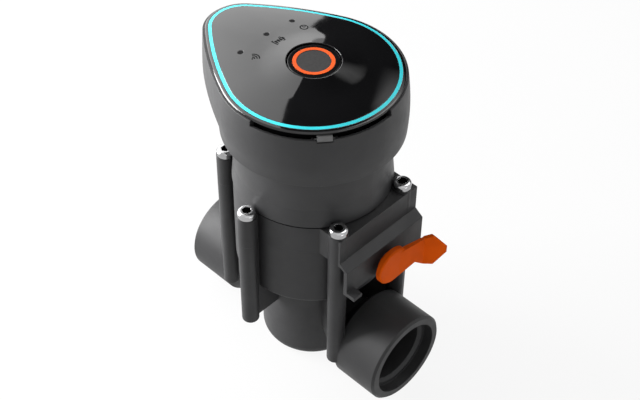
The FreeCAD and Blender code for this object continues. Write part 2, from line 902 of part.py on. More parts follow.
def coil_terminals():
    blades = []
    low_z = bobbin_top_z - bobbin_flange_thickness
    for y in (-terminal_y, terminal_y):
        blade = box(bobbin_flange_radius, terminal_end_x, y - terminal_half_width, y + terminal_half_width,
                    low_z, low_z + terminal_thickness)
        post = box(terminal_end_x - terminal_thickness, terminal_end_x, y - terminal_half_width,
                   y + terminal_half_width, low_z, strip_bottom_z)
        blades.append(union([blade, post]))
    return Part.makeCompound(blades)


# Lever group
def lever_outline():
    # Side view of the arm and paddle in the YZ plane: the arm narrows to a waist, and the paddle
    # widens below it and ends in a blunt point.
    tip_reach = arm_fold_reach + paddle_length * math.cos(math.radians(paddle_angle))
    corners = [
        (arm_root_reach, arm_root_bottom),
        (0, arm_root_bottom),
        (0, arm_root_top),
        (arm_root_reach, arm_root_top),
        (arm_fold_reach, arm_fold_top),
        (paddle_shoulder_reach, paddle_shoulder_top),
        (tip_reach, paddle_tip_top),
        (tip_reach, paddle_tip_bottom),
        (paddle_shoulder_reach, paddle_shoulder_bottom),
        (arm_fold_reach, arm_fold_bottom),
        (arm_waist_reach, arm_waist_bottom),
    ]
    points = [V(0, lever_y + y, lever_z + z) for y, z in corners]
    return prism(points, V(beyond, 0, 0))


def lever_plan():
    # Plan view of the arm and paddle: a strip that thins towards the fold and bends outward there.
    angle = math.radians(paddle_angle)
    blade = lever_blade_thickness
    fold = V(hub_front_x + arm_fold_out, lever_y + arm_fold_reach, lever_z - lever_hub_radius - overlap)
    along = V(math.sin(angle), math.cos(angle), 0)
    back = V(-math.cos(angle), math.sin(angle), 0)
    tip = fold + along * paddle_length
    root_y = lever_y + arm_root_reach
    points = [
        V(hub_front_x, root_y, fold.z),
        fold,
        tip,
        tip + back * blade,
        fold + V(-blade, blade * math.tan(angle / 2), 0),
        V(hub_back_x, root_y, fold.z),
        V(hub_back_x, lever_y, fold.z),
        V(hub_front_x, lever_y, fold.z),
    ]
    return prism(points, V(0, 0, 2 * (lever_hub_radius + overlap)))


def manual_lever():
    hub = cylinder_x(lever_hub_radius, hub_back_x, hub_front_x, lever_y, lever_z)
    collar = cylinder_x(lever_collar_radius, collar_back_x, hub_back_x, lever_y, lever_z)
    rim = edges_at(hub, is_hub_rim)
    hub = hub.makeChamfer(lever_edge_chamfer, rim)
    arm = lever_plan().common(lever_outline())
    bore = cylinder_x(spindle_radius, collar_back_x, collar_back_x + spindle_press_depth, lever_y, lever_z)
    return union([hub, arm, collar]).cut(bore)


def is_hub_rim(edge):
    return isinstance(edge.Curve, Part.Circle) and abs(edge.Curve.Center.x - hub_front_x) < same_size


def seal_positions():
    return (vent_x - spindle_seal_offset, vent_x + spindle_seal_offset)


def lever_spindle():
    start_x = spindle_inner_x + spindle_end_gap
    solid = cylinder_x(spindle_radius, start_x, collar_back_x + spindle_press_depth, lever_y, lever_z)
    seal_floor = spindle_radius - 2 * spindle_seal_section
    for x in seal_positions():
        low = x - spindle_seal_section
        high = x + spindle_seal_section
        groove = cylinder_x(spindle_radius + overlap, low, high, lever_y, lever_z)
        groove = groove.cut(cylinder_x(seal_floor, low, high, lever_y, lever_z))
        solid = solid.cut(groove)
    low, high = clip_span()
    clip_groove = cylinder_x(spindle_radius + overlap, low, high, lever_y, lever_z)
    clip_groove = clip_groove.cut(cylinder_x(spindle_radius - clip_groove_depth, low, high, lever_y, lever_z))
    cross_hole = Part.makeCylinder(vent_radius, 2 * (spindle_radius + overlap),
                                   V(vent_x, lever_y - spindle_radius - overlap, lever_z), V(0, 1, 0))
    return solid.cut(clip_groove).cut(cross_hole)


def spindle_seals():
    centre_radius = spindle_radius - spindle_seal_section
    seals = []
    for x in seal_positions():
        seals.append(Part.makeTorus(centre_radius, spindle_seal_section, V(x, lever_y, lever_z), OUTWARD))
    return Part.makeCompound(seals)


def clip_span():
    high = apron_front_x - apron_thickness - clip_gap
    return (high - clip_thickness, high)


def spindle_clip():
    low, high = clip_span()
    disc = cylinder_x(clip_radius, low, high, lever_y, lever_z)
    return disc.cut(cylinder_x(spindle_radius - clip_groove_depth, low, high, lever_y, lever_z))


# Control housing
def bowl_sections(offset):
    # Rising outlines of the bowl: round at the lip, egg-shaped at the rim.
    return [
        egg_wire(offset, floor_top_z, (0.0, bowl_lip_radius), (bowl_lip_tip_x, bowl_lip_tip_radius)),
        egg_wire(offset, bowl_flank_z, (bowl_flank_wide_x, bowl_flank_wide_radius),
                 (bowl_flank_tip_x, bowl_flank_tip_radius)),
        egg_wire(offset, bowl_belly_z, (bowl_belly_wide_x, bowl_belly_wide_radius),
                 (bowl_belly_tip_x, bowl_belly_tip_radius)),
        egg_wire(offset + bowl_rim_offset, bowl_rim_z),
    ]


def bowl(offset):
    return Part.makeLoft(bowl_sections(offset), True, False)


def bowl_room():
    # Hollow of the bowl, with upright walls at the top where the lid's skirt slides in.
    lower = bowl(-bowl_wall).common(box(-beyond, beyond, -beyond, beyond, floor_z, skirt_room_z))
    upper = egg_prism(bowl_rim_offset - bowl_wall, skirt_room_z, bowl_rim_z + recess_depth)
    return lower.fuse(upper)


def neck_outside():
    profile = [
        (0, bonnet_top_z),
        (neck_collar_radius - neck_edge_chamfer, bonnet_top_z),
        (neck_collar_radius, bonnet_top_z + neck_edge_chamfer),
        (neck_radius, bonnet_top_z + neck_waist_rise),
        (neck_radius, floor_top_z),
        (0, floor_top_z),
    ]
    return revolved(profile)


def lip_underside():
    # Short cone from the neck out to the overhanging lip of the bowl.
    return Part.makeCone(neck_radius, bowl_lip_radius, bowl_lip_round,
                         V(0, 0, floor_top_z - bowl_lip_round), UP)


def recess_cut():
    return sector(recess_zone_inner, recess_zone_outer, recess_middle_angle, recess_half_angle,
                  bowl_rim_z - recess_depth, bowl_rim_z + recess_depth)


def recess_groove():
    # Deep groove behind a thin lip, so that a finger nail reaches under the lid.
    inner = egg_prism(skirt_offset, recess_groove_bottom_z, bowl_rim_z)
    outer = egg_prism(bowl_rim_offset - recess_lip, recess_groove_bottom_z, bowl_rim_z)
    zone = sector(recess_zone_inner, recess_zone_outer, recess_middle_angle, recess_half_angle,
                  recess_groove_bottom_z, bowl_rim_z)
    return outer.cut(inner).common(zone)


def at_recess(shape):
    shape.rotate(V(0, 0, 0), UP, recess_middle_angle)
    return shape


def latch_slot():
    half = latch_half_width + latch_gap
    wing_half = latch_wing_half_width + latch_gap
    low_z = latch_bottom_z - latch_gap
    through = box(recess_zone_inner, recess_zone_outer, -half, half, low_z, bowl_rim_z)
    wings = box(recess_zone_inner, latch_inner_radius + latch_wing_thickness + latch_gap,
                -wing_half, wing_half, low_z, bowl_rim_z)
    return at_recess(union([through, wings]))


def latch_cheeks():
    # Keeps the wall at full thickness on both sides of the latch, where the groove would thin it.
    half = latch_wing_half_width + latch_cheek
    block = box(latch_inner_radius - latch_travel, latch_outer_radius - latch_gap, -half, half,
                recess_groove_bottom_z, bowl_rim_z - recess_depth)
    return at_recess(block)


def lid_latch():
    tab = box(latch_inner_radius, latch_outer_radius, -latch_half_width, latch_half_width,
              latch_bottom_z, latch_top_z)
    wings = box(latch_inner_radius, latch_inner_radius + latch_wing_thickness, -latch_wing_half_width,
                latch_wing_half_width, latch_bottom_z, bowl_rim_z - recess_depth)
    return at_recess(union([tab, wings]))


def strip_slots():
    slots = []
    for y in (-terminal_y, terminal_y):
        slots.append(box(strip_x, strip_x + strip_thickness, y - terminal_half_width,
                         y + terminal_half_width, floor_z, floor_top_z))
    return slots


def cradle_ribs():
    ribs = []
    inner = battery_width / 2 + cradle_gap
    outer = inner + cradle_rib_thickness
    for low_y, high_y in ((inner, outer), (-outer, -inner)):
        ribs.append(box(cradle_rib_back_x, cradle_rib_front_x, low_y, high_y,
                        floor_top_z - floor_thickness / 2, floor_top_z + cradle_rib_height))
    return ribs


def control_housing():
    outside = union([neck_outside(), lip_underside(), bowl(0)])
    solid = outside.cut(bowl_room())
    solid = solid.cut(cylinder(neck_inner_radius, bonnet_top_z, floor_z))
    solid = union([solid] + cradle_ribs())
    solid = solid.cut(recess_cut()).cut(recess_groove())
    solid = solid.fuse(latch_cheeks()).cut(latch_slot())
    for slot in strip_slots():
        solid = solid.cut(slot)
    return solid


# Lid
def egg_reach(x, y):
    # Distance from the axis to the turquoise line in the direction of a point.
    far = V(x, y, 0).normalize() * beyond
    ray = Part.makeLine(V(0, 0, 0), far)
    return ray.distToShape(line_outline)[1][0][0].Length


def top_skin_z(x, y):
    # The outline at panel_line_z is the egg of the turquoise line. The dome rises by the square of
    # the way to the axis, and a collar rises on it towards the button.
    radius = math.hypot(x, y)
    if radius < same_size:
        return panel_apex_z + collar_rise(radius)
    share = radius / egg_reach(x, y)
    return panel_apex_z - panel_crown * share ** 2 + collar_rise(radius)


def collar_rise(radius):
    width = collar_radius - button_bore_radius
    way = max(0.0, (collar_radius - radius) / width)
    return collar_slope * width / collar_curve * way ** collar_curve


def grid_line(low, high):
    start = low - panel_offset - panel_grid_step
    length = high - low + 2 * (panel_offset + panel_grid_step)
    count = round(length / panel_grid_step)
    return [start + length / count * i for i in range(count + 1)]


def top_skin_grid():
    bounds = line_outline.BoundBox
    across = grid_line(bounds.YMin, bounds.YMax)
    return [[(x, y, top_skin_z(x, y)) for y in across] for x in grid_line(bounds.XMin, bounds.XMax)]


top_skin_points = top_skin_grid()


def dome(drop):
    # Everything under the top skin, lowered by a given drop.
    points = [[V(x, y, z - drop) for x, y, z in row] for row in top_skin_points]
    surface = Part.BSplineSurface()
    surface.interpolate(points)
    skin = surface.toShape()
    return skin.extrude(V(0, 0, skirt_bottom_z - panel_line_z))


def window_spots():
    return [(window_x, window_pitch * i) for i in (-1, 0, 1)]


def board_boss_spots():
    return [
        (board_tip_boss_x, 0.0),
        (board_side_boss_x, board_side_boss_y),
        (board_side_boss_x, -board_side_boss_y),
    ]


def skirt_ring(inner_offset, outer_offset, low_z, high_z):
    return egg_prism(outer_offset, low_z, high_z).cut(egg_prism(inner_offset, low_z, high_z))


def line_ring(high_z):
    half = line_width / 2
    return skirt_ring(-half, half, panel_line_z - line_depth, high_z)


def under_skin(shape):
    return shape.common(dome(panel_thickness))


def lid_panel():
    skirt_inner = skirt_offset - skirt_wall
    top_skin = dome(0)
    panel = egg_prism(panel_offset, bowl_rim_z, lid_top_z).common(top_skin)
    outline = edges_at(panel, is_panel_top_edge)
    panel = panel.makeFillet(panel_edge_round, outline)
    hollow = under_skin(egg_prism(skirt_inner, skirt_bottom_z, lid_top_z))
    skirt = skirt_ring(skirt_inner, skirt_offset, skirt_bottom_z, bowl_rim_z + panel_edge_round)
    panel = panel.cut(hollow).fuse(skirt)
    bosses = [under_skin(cylinder(board_boss_radius, board_top_z, lid_top_z, x, y))
              for x, y in board_boss_spots()]
    panel = union([panel] + bosses)
    panel = panel.cut(line_ring(lid_top_z))
    panel = panel.cut(cylinder(button_bore_radius, board_top_z, lid_top_z))
    panel = panel.cut(gasket_groove())
    for x, y in window_spots():
        panel = panel.cut(cylinder(window_radius, board_top_z, lid_top_z, x, y))
    for x, y in board_boss_spots():
        panel = panel.cut(cylinder(board_screw_radius, board_top_z, board_top_z + board_screw_grip, x, y))
    return panel


def is_panel_top_edge(edge):
    low_z = edge.BoundBox.ZMin
    return low_z > bowl_rim_z + panel_edge_margin and edge.Length > panel_crown


def gasket_groove():
    return skirt_ring(gasket_outer_offset() - gasket_width, skirt_offset + overlap, gasket_bottom_z,
                      gasket_bottom_z + gasket_height)


def gasket_outer_offset():
    return bowl_rim_offset - bowl_wall - gasket_fit


def lid_gasket():
    outer = gasket_outer_offset()
    return skirt_ring(outer - gasket_width, outer, gasket_bottom_z, gasket_bottom_z + gasket_height)


def accent_line():
    return line_ring(lid_top_z).common(dome(0))


def led_windows():
    windows = []
    for x, y in window_spots():
        pin = cylinder(window_radius, window_flange_bottom_z, lid_top_z, x, y).common(dome(0))
        flange = under_skin(cylinder(window_flange_radius, window_flange_bottom_z, lid_top_z, x, y))
        windows.append(union([pin, flange]))
    return Part.makeCompound(windows)


def button_cap():
    outer = button_bore_radius - button_gap
    cap = cylinder(outer, button_bottom_z, button_top_z)
    rim = edges_at(cap, lambda e: is_circle(e, outer, button_top_z))
    cap = cap.makeFillet(button_edge_round, rim)
    flange = cylinder(button_flange_radius, button_bottom_z, button_flange_top_z)
    hollow_top = button_top_z - button_wall
    hollow = cylinder(outer - button_wall, button_bottom_z, hollow_top)
    stem_low = board_top_z + switch_height + button_travel + gasket_fit
    stem = cylinder(button_stem_radius, stem_low, hollow_top)
    cap = union([cap, flange]).cut(hollow).fuse(stem)
    groove = ring(ring_inner_radius, ring_outer_radius, button_top_z - ring_depth, button_top_z)
    return cap.cut(groove).removeSplitter()


def button_ring():
    return ring(ring_inner_radius, ring_outer_radius, button_top_z - ring_depth, button_top_z + ring_proud)


def button_spring():
    return ring(button_spring_radius - button_spring_wall, button_spring_radius, board_top_z,
                button_top_z - button_wall)


# Circuit board
def circuit_board():
    board = egg_prism(board_offset, board_bottom_z, board_top_z)
    for x, y in board_boss_spots():
        board = board.cut(cylinder(board_screw_radius, board_bottom_z, board_top_z, x, y))
    return board


def board_screws():
    screws = []
    for x, y in board_boss_spots():
        shank = cylinder(board_screw_radius, board_bottom_z, board_top_z + board_screw_grip, x, y)
        head = cylinder(board_screw_head_radius, board_bottom_z - board_screw_head_height,
                        board_bottom_z, x, y)
        screws.append(union([shank, head]))
    return Part.makeCompound(screws)


def button_switch():
    half = switch_half_side
    body = box(-half, half, -half, half, board_top_z, board_top_z + switch_height)
    upright = edges_at(body, lambda e: e.BoundBox.ZLength > switch_height / 2)
    return body.makeChamfer(switch_chamfer, upright)


def status_leds():
    lamps = []
    for x, y in window_spots():
        half = led_half_side
        lamps.append(box(x - half, x + half, y - half, y + half, board_top_z, board_top_z + led_height))
    return Part.makeCompound(lamps)


def radio_module():
    return box(radio_back_x, radio_back_x + radio_length, -radio_width / 2, radio_width / 2,
               board_top_z, board_top_z + radio_height)


# Battery and contacts
def battery():
    half = battery_width / 2
    block = box(battery_back_x, battery_front_x, -half, half, battery_low_z, battery_high_z)
    long_edges = edges_at(block, lambda e: e.BoundBox.XLength > battery_length / 2)
    return block.makeFillet(battery_edge_fillet, long_edges)


def battery_studs():
    studs = []
    for y in (-stud_y, stud_y):
        stud = cylinder_x(stud_radius, battery_front_x, connector_x, y, stud_z)
        studs.append(stud.cut(cylinder_x(stud_bore_radius, battery_front_x, connector_x, y, stud_z)))
    return Part.makeCompound(studs)


def battery_connector():
    return box(connector_x, connector_x + connector_thickness, -connector_half_width, connector_half_width,
               floor_top_z, floor_top_z + connector_height)


def battery_leads():
    leads = []
    low_x = connector_x + connector_thickness
    low_z = floor_top_z + connector_height - lead_height
    for y in (-lead_y, lead_y):
        leads.append(box(low_x, low_x + lead_thickness, y - lead_half_width, y + lead_half_width,
                         low_z, board_bottom_z))
    return Part.makeCompound(leads)


def contact_strips():
    strips = []
    for y in (-terminal_y, terminal_y):
        low_y = y - terminal_half_width
        high_y = y + terminal_half_width
        flat = box(terminal_end_x - terminal_thickness, strip_x + strip_thickness, low_y, high_y,
                   strip_bottom_z, floor_z)
        upright = box(strip_x, strip_x + strip_thickness, low_y, high_y, strip_bottom_z, board_bottom_z)
        strips.append(union([flat, upright]))
    return Part.makeCompound(strips)


PIECES = [
    ("valve_body", valve_body), ("bonnet", bonnet), ("bonnet_screws", bonnet_screws),
    ("diaphragm", diaphragm), ("diaphragm_plate", diaphragm_plate), ("diaphragm_spring", diaphragm_spring),
    ("solenoid_tube", solenoid_tube), ("solenoid_seal", solenoid_seal), ("solenoid_bobbin", solenoid_bobbin),
    ("solenoid_coil", solenoid_coil), ("solenoid_yoke", solenoid_yoke), ("pole_piece", pole_piece),
    ("latch_magnet", latch_magnet), ("coil_terminals", coil_terminals),
    ("solenoid_screws", solenoid_screws), ("solenoid_plunger", solenoid_plunger),
    ("plunger_seal", plunger_seal), ("plunger_spring", plunger_spring),
    ("manual_lever", manual_lever), ("lever_spindle", lever_spindle), ("spindle_seals", spindle_seals),
    ("spindle_clip", spindle_clip), ("vent_seal", vent_seal), ("neck_seal", neck_seal),
    ("control_housing", control_housing), ("lid_latch", lid_latch), ("battery", battery),
    ("battery_studs", battery_studs), ("battery_connector", battery_connector),
    ("battery_leads", battery_leads), ("contact_strips", contact_strips),
    ("lid_panel", lid_panel), ("accent_line", accent_line), ("led_windows", led_windows),
    ("lid_gasket", lid_gasket), ("circuit_board", circuit_board), ("board_screws", board_screws),
    ("button_switch", button_switch), ("status_leds", status_leds), ("radio_module", radio_module),
    ("button_cap", button_cap), ("button_ring", button_ring), ("button_spring", button_spring),
]

for name, make_piece in PIECES:
    export(name, make_piece())
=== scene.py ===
import json
import math
import bpy
from mathutils import Matrix, Quaternion, Vector
from mathutils.bvhtree import BVHTree


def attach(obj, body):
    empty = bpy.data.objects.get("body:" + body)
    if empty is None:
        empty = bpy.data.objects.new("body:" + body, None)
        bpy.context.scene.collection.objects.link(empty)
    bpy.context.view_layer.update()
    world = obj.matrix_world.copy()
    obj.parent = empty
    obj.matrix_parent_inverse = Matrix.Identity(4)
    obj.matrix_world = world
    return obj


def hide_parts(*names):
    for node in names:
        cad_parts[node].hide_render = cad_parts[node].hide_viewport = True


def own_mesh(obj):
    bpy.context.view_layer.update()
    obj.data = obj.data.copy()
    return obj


# Looks of a battery-operated irrigation valve. Metres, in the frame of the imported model.

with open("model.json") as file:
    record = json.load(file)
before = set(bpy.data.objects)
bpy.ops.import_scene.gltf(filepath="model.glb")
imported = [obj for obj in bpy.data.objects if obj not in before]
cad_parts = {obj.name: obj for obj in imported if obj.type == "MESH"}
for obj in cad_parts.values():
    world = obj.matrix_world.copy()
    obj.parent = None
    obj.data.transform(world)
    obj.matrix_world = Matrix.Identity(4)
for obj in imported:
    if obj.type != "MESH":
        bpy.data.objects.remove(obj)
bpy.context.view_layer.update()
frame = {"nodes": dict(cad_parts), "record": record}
NODES = frame["nodes"]
MM = 0.001
LIT_POINT = Vector((0, 0, 0.1))

# Camera: turn about Z, height above the horizon, lean, distance and the point it is aimed past
CAMERA_TURN = math.radians(43.856)
CAMERA_RISE = math.radians(44.693)
CAMERA_LEAN = math.radians(0.741)
CAMERA_DISTANCE = 0.48004
CAMERA_AIM_Z = 0.0835
CAMERA_OFFSET = (-0.002438, 0.012364)
CAMERA_LENS_MM = 76.73
SENSOR_MM = 36.0

# Sizes of the object that the looks refer to
PANEL_TOP_Z = 130.8 * MM
RING_INNER_RADIUS = 5.8 * MM
SOCKET_FLOOR_Z = 82.0 * MM
SCREW_TOP_Z = 83.8 * MM
SOCKET_RADIUS = 1.8 * MM
SOCKET_MARGIN = 0.1 * MM
BATTERY_BAND_X = 6.0 * MM
LABEL_X = -16.6 * MM
LABEL_PITCH = 12.1 * MM
LABEL_TURN = math.radians(90)
ARC_STEPS = 14
INLAY_HEIGHT = 0.03 * MM
DRAPE_START_Z = PANEL_TOP_Z + 20 * MM

# Coil springs: the rise of each closed end turn, in wire radii, and how the wire is divided
CLOSED_TURN_PITCH = 2.1
STEPS_PER_TURN = 28
WIRE_SIDES = 12

BLACK = (0, 0, 0, 1)
WHITE = (1, 1, 1, 1)


def linked(name, data):
    """A new object of the scene."""
    item = bpy.data.objects.new(name, data)
    bpy.context.scene.collection.objects.link(item)
    return item


def mesh_object(name, points, faces):
    mesh = bpy.data.meshes.new(name)
    mesh.from_pydata(points, [], faces)
    mesh.update()
    return linked(name, mesh)


# Materials
def linear(value):
    return value / 12.92 if value <= 0.04045 else ((value + 0.055) / 1.055) ** 2.4


def colour(red, green, blue):
    return (linear(red / 255), linear(green / 255), linear(blue / 255), 1.0)


def scaled(rgba, factor):
    return tuple(min(1.0, channel * factor) for channel in rgba[:3]) + (1.0,)


class Finish:
    """A node material with mottled colour, uneven roughness and fine bump, all in object space."""

    def __init__(self, name, base, roughness, specular=0.5, metallic=0.0):
        self.material = bpy.data.materials.new(name)
        self.material.use_nodes = True
        self.tree = self.material.node_tree
        self.shader = self.tree.nodes["Principled BSDF"]
        self.shader.inputs["Specular IOR Level"].default_value = specular
        self.shader.inputs["Metallic"].default_value = metallic
        self.shader.inputs["Roughness"].default_value = roughness
        self.shader.inputs["Base Color"].default_value = base
        self.base = base
        self.place = self.node("TexCoord").outputs["Object"]
        self.normal = None

    def node(self, kind):
        return self.tree.nodes.new("ShaderNode" + kind)

    def link(self, start, end):
        self.tree.links.new(start, end)

    def noise(self, scale, detail=2.0, stretch=None):
        texture = self.node("TexNoise")
        texture.inputs["Scale"].default_value = scale
        texture.inputs["Detail"].default_value = detail
        source = self.place
        if stretch:
            mapping = self.node("Mapping")
            mapping.inputs["Scale"].default_value = stretch
            self.link(self.place, mapping.inputs["Vector"])
            source = mapping.outputs["Vector"]
        self.link(source, texture.inputs["Vector"])
        return texture.outputs["Fac"]

    def ramp(self, source, low, high, low_at=0.35, high_at=0.65):
        ramp = self.node("ValToRGB")
        ramp.color_ramp.elements[0].position = low_at
        ramp.color_ramp.elements[0].color = low
        ramp.color_ramp.elements[1].position = high_at
        ramp.color_ramp.elements[1].color = high
        self.link(source, ramp.inputs["Fac"])
        return ramp.outputs["Color"]

    def mottle(self, scale, darker, lighter, stretch=None):
        source = self.noise(scale, 3.0, stretch)
        tint = self.ramp(source, scaled(self.base, darker), scaled(self.base, lighter))
        self.link(tint, self.shader.inputs["Base Color"])

    def uneven_roughness(self, scale, low, high, stretch=None):
        span = self.node("MapRange")
        span.inputs["From Min"].default_value = 0.3
        span.inputs["From Max"].default_value = 0.7
        span.inputs["To Min"].default_value = low
        span.inputs["To Max"].default_value = high
        self.link(self.noise(scale, 2.0, stretch), span.inputs["Value"])
        self.link(span.outputs["Result"], self.shader.inputs["Roughness"])

    def soft_edges(self, radius):
        bevel = self.node("Bevel")
        bevel.samples = 4
        bevel.inputs["Radius"].default_value = radius
        self.normal = bevel.outputs["Normal"]
        self.link(self.normal, self.shader.inputs["Normal"])

    def bump(self, source, strength, distance):
        bump = self.node("Bump")
        bump.inputs["Strength"].default_value = strength
        bump.inputs["Distance"].default_value = distance
        self.link(source, bump.inputs["Height"])
        if self.normal:
            self.link(self.normal, bump.inputs["Normal"])
        self.normal = bump.outputs["Normal"]
        self.link(self.normal, self.shader.inputs["Normal"])

    def bands(self, axis, scale):
        wave = self.node("TexWave")
        wave.bands_direction = axis
        wave.inputs["Scale"].default_value = scale
        self.link(self.place, wave.inputs["Vector"])
        return wave.outputs["Fac"]

    def position(self):
        split = self.node("SeparateXYZ")
        self.link(self.place, split.inputs["Vector"])
        return split.outputs

    def maths(self, operation, first, second=None):
        maths = self.node("Math")
        maths.operation = operation
        for socket, value in zip(maths.inputs, (first, second)):
            if value is None:
                continue
            if isinstance(value, (int, float)):
                socket.default_value = value
            else:
                self.link(value, socket)
        return maths.outputs["Value"]

    def mix(self, mask, first, second):
        mix = self.node("Mix")
        mix.data_type = "RGBA"
        self.link(mask, mix.inputs[0])
        for socket, value in ((mix.inputs[6], first), (mix.inputs[7], second)):
            if isinstance(value, tuple):
                socket.default_value = value
            else:
                self.link(value, socket)
        self.link(mix.outputs[2], self.shader.inputs["Base Color"])


def moulded(name, base, roughness, specular, edge=0.3 * MM, grain=0.12):
    finish = Finish(name, base, roughness, specular)
    finish.mottle(70, 0.92, 1.08)
    finish.uneven_roughness(180, roughness - 0.04, roughness + 0.05)
    if edge:
        finish.soft_edges(edge)
    finish.bump(finish.noise(2600, 2.0), grain, 0.05 * MM)
    return finish


def polished_panel():
    finish = Finish("gloss_black", colour(14, 14, 15), 0.05, 0.5)
    finish.mottle(45, 0.85, 1.15)
    finish.uneven_roughness(120, 0.035, 0.06)
    finish.soft_edges(0.35 * MM)
    finish.bump(finish.noise(60, 1.0), 0.03, 0.02 * MM)
    return finish


def button_plastic():
    # Polished black, with a satin dark grey disc inside the orange ring.
    finish = Finish("button_black", colour(20, 20, 21), 0.2, 0.2)
    x, y, _ = finish.position()
    square = finish.maths("ADD", finish.maths("MULTIPLY", x, x), finish.maths("MULTIPLY", y, y))
    radius = finish.maths("SQRT", square)
    inside = finish.maths("LESS_THAN", radius, RING_INNER_RADIUS)
    satin = finish.ramp(finish.noise(900), colour(34, 33, 33), colour(40, 39, 39))
    black = finish.ramp(finish.noise(200), colour(13, 13, 14), colour(17, 17, 18))
    finish.mix(inside, black, satin)
    rough = finish.maths("ADD", finish.maths("MULTIPLY", inside, 0.42), 0.06)
    grain = finish.maths("MULTIPLY", finish.noise(700), 0.05)
    finish.link(finish.maths("ADD", rough, grain), finish.shader.inputs["Roughness"])
    finish.soft_edges(0.25 * MM)
    finish.bump(finish.noise(3000), 0.05, 0.03 * MM)
    return finish


def metal(name, base, roughness, stretch=None):
    finish = Finish(name, base, roughness, 0.5, 1.0)
    finish.mottle(100, 0.93, 1.05, stretch)
    finish.uneven_roughness(400, roughness - 0.05, roughness + 0.05, stretch)
    finish.soft_edges(0.12 * MM)
    finish.bump(finish.noise(1200, 2.0, stretch), 0.05, 0.02 * MM)
    return finish


def winding():
    finish = Finish("copper", colour(176, 84, 36), 0.32, 0.5, 0.9)
    wires = finish.bands("Z", 520)
    # The colour follows the wire bands: painted shade in the grooves between turns, painted light on
    # their crests.
    tint = finish.ramp(wires, colour(120, 52, 20), colour(196, 104, 50), 0.1, 0.9)
    finish.link(tint, finish.shader.inputs["Base Color"])
    finish.uneven_roughness(300, 0.26, 0.38)
    finish.bump(wires, 0.7, 0.15 * MM)
    return finish


def battery_can():
    # Plain dark can with a bright band at the end that carries the studs.
    finish = Finish("battery_case", colour(60, 64, 72), 0.35, 0.5, 0.3)
    band = finish.maths("GREATER_THAN", finish.position()["X"], BATTERY_BAND_X)
    body = finish.ramp(finish.noise(90), colour(54, 58, 66), colour(66, 70, 80))
    bright = finish.ramp(finish.noise(120), colour(176, 150, 92), colour(190, 164, 104))
    finish.mix(band, body, bright)
    finish.uneven_roughness(250, 0.28, 0.4)
    finish.soft_edges(0.3 * MM)
    finish.bump(finish.noise(900), 0.05, 0.03 * MM)
    return finish


def board_mask():
    finish = Finish("board_green", colour(26, 88, 48), 0.3, 0.5)
    weave = finish.bands("X", 900)
    finish.mottle(160, 0.8, 1.15)
    finish.uneven_roughness(300, 0.24, 0.36)
    finish.bump(weave, 0.15, 0.03 * MM)
    return finish


def accent():
    finish = Finish("turquoise", colour(52, 200, 210), 0.25, 0.3)
    finish.mottle(120, 0.95, 1.04)
    finish.uneven_roughness(300, 0.2, 0.3)
    finish.bump(finish.noise(1200), 0.04, 0.02 * MM)
    return finish


body_grey = colour(38, 38, 39)
FINISHES = {
    "body_plastic": moulded("body_plastic", body_grey, 0.5, 0.29),
    "housing_plastic": moulded("housing_plastic", body_grey, 0.46, 0.37),
    "gloss_black": polished_panel(),
    "turquoise": accent(),
    "orange": moulded("orange", colour(224, 88, 5), 0.45, 0.04, 0.4 * MM, 0.06),
    "orange_ring": moulded("orange_ring", colour(206, 80, 28), 0.35, 0.1, 0.1 * MM, 0.04),
    "button_black": button_plastic(),
    "window": moulded("window", colour(10, 10, 11), 0.3, 0.04, 0.1 * MM, 0.02),
    "grey_tab": moulded("grey_tab", colour(110, 110, 110), 0.45, 0.4, 0.2 * MM),
    "stainless": metal("stainless", colour(168, 168, 169), 0.18),
    "steel": metal("steel", colour(160, 162, 164), 0.32, (1, 1, 8)),
    "rubber_black": moulded("rubber_black", colour(24, 24, 24), 0.75, 0.25, 0.15 * MM, 0.2),
    "inner_plastic": moulded("inner_plastic", colour(214, 210, 198), 0.45, 0.4, 0.2 * MM),
    "copper": winding(),
    "contact_metal": metal("contact_metal", colour(201, 162, 84), 0.25, (1, 1, 6)),
    "battery_case": battery_can(),
    "board_green": board_mask(),
    "led_lens": moulded("led_lens", colour(225, 225, 215), 0.2, 0.5, 0.1 * MM, 0.03),
    # near-black finish for the screws' hexagon sockets: painted shade in the recesses
    "socket": moulded("socket", colour(12, 12, 12), 0.7, 0.05, 0, 0.05),
    "label": moulded("label", colour(14, 14, 15), 0.6, 0.02, 0, 0.05),
}


def dress(piece, slot):
    piece.data.materials.clear()
    piece.data.materials.append(FINISHES[slot].material)


for subpart in frame["record"]["subparts"]:
    dress(NODES[subpart["node"]], subpart["material_slot"])


def centre_of(polygons):
    centres = [polygon.center for polygon in polygons]
    return sum(centres, Vector()) / len(centres)


def islands(mesh):
    """Polygons of a mesh, grouped by the separate solids that they belong to."""
    parent = list(range(len(mesh.vertices)))

    def root(vertex):
        while parent[vertex] != vertex:
            parent[vertex] = parent[parent[vertex]]
            vertex = parent[vertex]
        return vertex

    for edge in mesh.edges:
        parent[root(edge.vertices[0])] = root(edge.vertices[1])
    groups = {}
    for polygon in mesh.polygons:
        groups.setdefault(root(polygon.vertices[0]), []).append(polygon)
    return list(groups.values())


def paint_socket_shade(screws):
    # The hexagon sockets of the six screws get a near-black finish of their own: painted shade in the
    # recesses, not a colour of the steel.
    screws.data.materials.append(FINISHES["socket"].material)
    low, high = SOCKET_FLOOR_Z - SOCKET_MARGIN, SCREW_TOP_Z - SOCKET_MARGIN
    for solid in islands(screws.data):
        middle = centre_of(solid)
        for polygon in solid:
            way = polygon.center - middle
            inside = math.hypot(way.x, way.y) < SOCKET_RADIUS
            if inside and low < polygon.center.z < high:
                polygon.material_index = 1


paint_socket_shade(NODES["bonnet_screws"])


# Dark labels on the panel beside the three windows
def surface_of(node):
    mesh = NODES[node].data
    points = [vertex.co.copy() for vertex in mesh.vertices]
    faces = [tuple(polygon.vertices) for polygon in mesh.polygons]
    return BVHTree.FromPolygons(points, faces)


